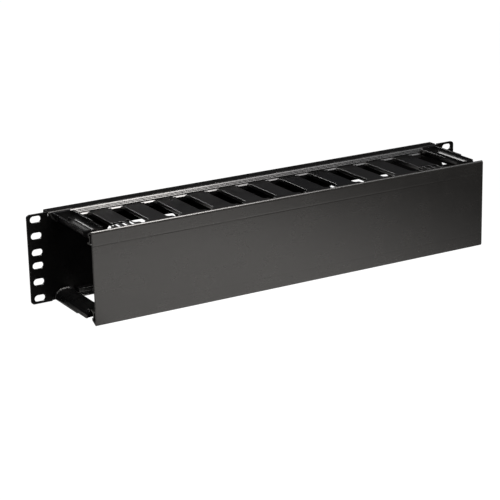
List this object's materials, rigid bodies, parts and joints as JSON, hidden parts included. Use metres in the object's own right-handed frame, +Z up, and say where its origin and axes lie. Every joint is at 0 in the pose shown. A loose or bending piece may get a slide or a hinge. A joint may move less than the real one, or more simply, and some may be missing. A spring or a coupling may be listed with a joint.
{
  "type": "horizontal cable manager",
  "caption": "Rack-mount horizontal cable manager: flanged steel back plate, finger rows that form a cable duct, and a clip-on cover that swings up.",
  "frame": {"origin": "centre of the rack slot pattern, on the front face of the ears", "axes": "+X to the right along the rack, +Y to the rear, into the rack, +Z up"},
  "size_m": [0.4826, 0.097, 0.0884],
  "materials": {
    "painted_steel": "fine-textured black powder coat",
    "moulded_plastic": "satin moulded black plastic",
    "cover_plastic": "smooth satin extruded black plastic"
  },
  "bodies": {
    "frame": {"back_plate": "painted_steel", "upper_rail": "moulded_plastic", "lower_rail": "moulded_plastic", "upper_comb_finger_1": "moulded_plastic", "upper_comb_finger_11": "moulded_plastic", "lower_comb_finger_1": "moulded_plastic", "lower_comb_finger_11": "moulded_plastic", "upper_finger_2": "moulded_plastic", "upper_finger_3": "moulded_plastic", "upper_finger_4": "moulded_plastic", "upper_finger_5": "moulded_plastic", "upper_finger_6": "moulded_plastic", "upper_finger_7": "moulded_plastic", "upper_finger_8": "moulded_plastic", "upper_finger_9": "moulded_plastic", "upper_finger_10": "moulded_plastic", "lower_finger_2": "moulded_plastic", "lower_finger_3": "moulded_plastic", "lower_finger_4": "moulded_plastic", "lower_finger_5": "moulded_plastic", "lower_finger_6": "moulded_plastic", "lower_finger_7": "moulded_plastic", "lower_finger_8": "moulded_plastic", "lower_finger_9": "moulded_plastic", "lower_finger_10": "moulded_plastic", "upper_left_end_finger": "moulded_plastic", "upper_right_end_finger": "moulded_plastic", "lower_left_end_finger": "moulded_plastic", "lower_right_end_finger": "moulded_plastic"},
    "cover": {"cover": "cover_plastic"}
  },
  "joints": [
    {"name": "cover_hinge", "type": "hinge", "parent": "frame", "child": "cover", "pos_m": [0, -0.0745, 0.0355], "axis": [-1, 0, 0], "range_deg": [0, 90]}
  ]
}
